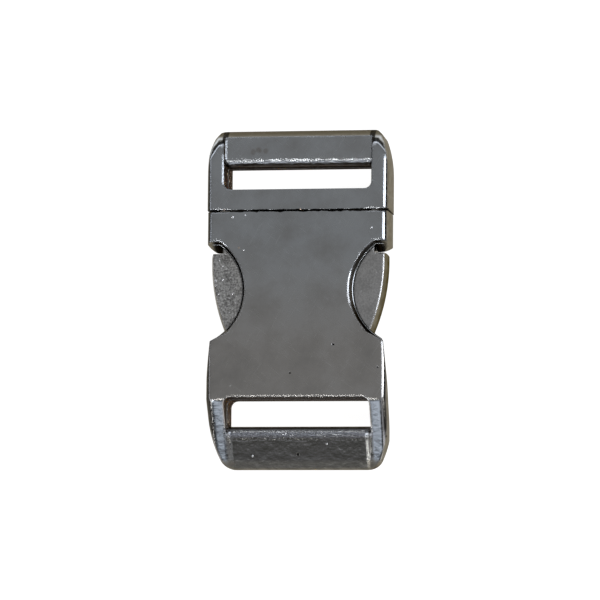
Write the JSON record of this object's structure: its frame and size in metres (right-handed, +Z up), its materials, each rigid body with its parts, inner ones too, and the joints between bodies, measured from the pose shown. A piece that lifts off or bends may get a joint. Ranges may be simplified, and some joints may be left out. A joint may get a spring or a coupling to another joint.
{
  "type": "side release buckle",
  "caption": "Fastened side release buckle of plated die-cast metal, with two sprung side levers and a strap bar at each end for 25 mm webbing.",
  "frame": {"origin": "middle of the underside of the buckle's box, lying on its back", "axes": "+Z up out of the flat top face, +Y along the buckle towards the plug's strap bar, +X across it"},
  "size_m": [0.0316, 0.0584, 0.0094],
  "materials": {
    "plated_casting": "polished zinc die casting with dark bright nickel plating",
    "plated_rough_casting": "unpolished, sandy zinc die casting with dark bright nickel plating",
    "pin_steel": "drawn steel pin",
    "spring_steel": "drawn spring wire"
  },
  "bodies": {
    "buckle": {"housing": "plated_casting", "plug": "plated_casting", "left_pin": "pin_steel", "right_pin": "pin_steel", "left_spring": "spring_steel", "right_spring": "spring_steel"},
    "left_lever": {"left_lever": "plated_rough_casting"},
    "right_lever": {"right_lever": "plated_rough_casting"}
  },
  "joints": [
    {"name": "left_lever_press", "type": "hinge", "parent": "buckle", "child": "left_lever", "pos_m": [-0.0098, 0.0159, 0.0047], "axis": [0, 0, 1], "range_deg": [0, 12.5], "stiffness_Nm_per_rad": 0.05, "springref_deg": -8.59, "deforming": ["left_spring"]},
    {"name": "right_lever_press", "type": "hinge", "parent": "buckle", "child": "right_lever", "pos_m": [0.0098, 0.0159, 0.0047], "axis": [0, 0, -1], "range_deg": [0, 12.5], "stiffness_Nm_per_rad": 0.05, "springref_deg": -8.59, "deforming": ["right_spring"]}
  ]
}
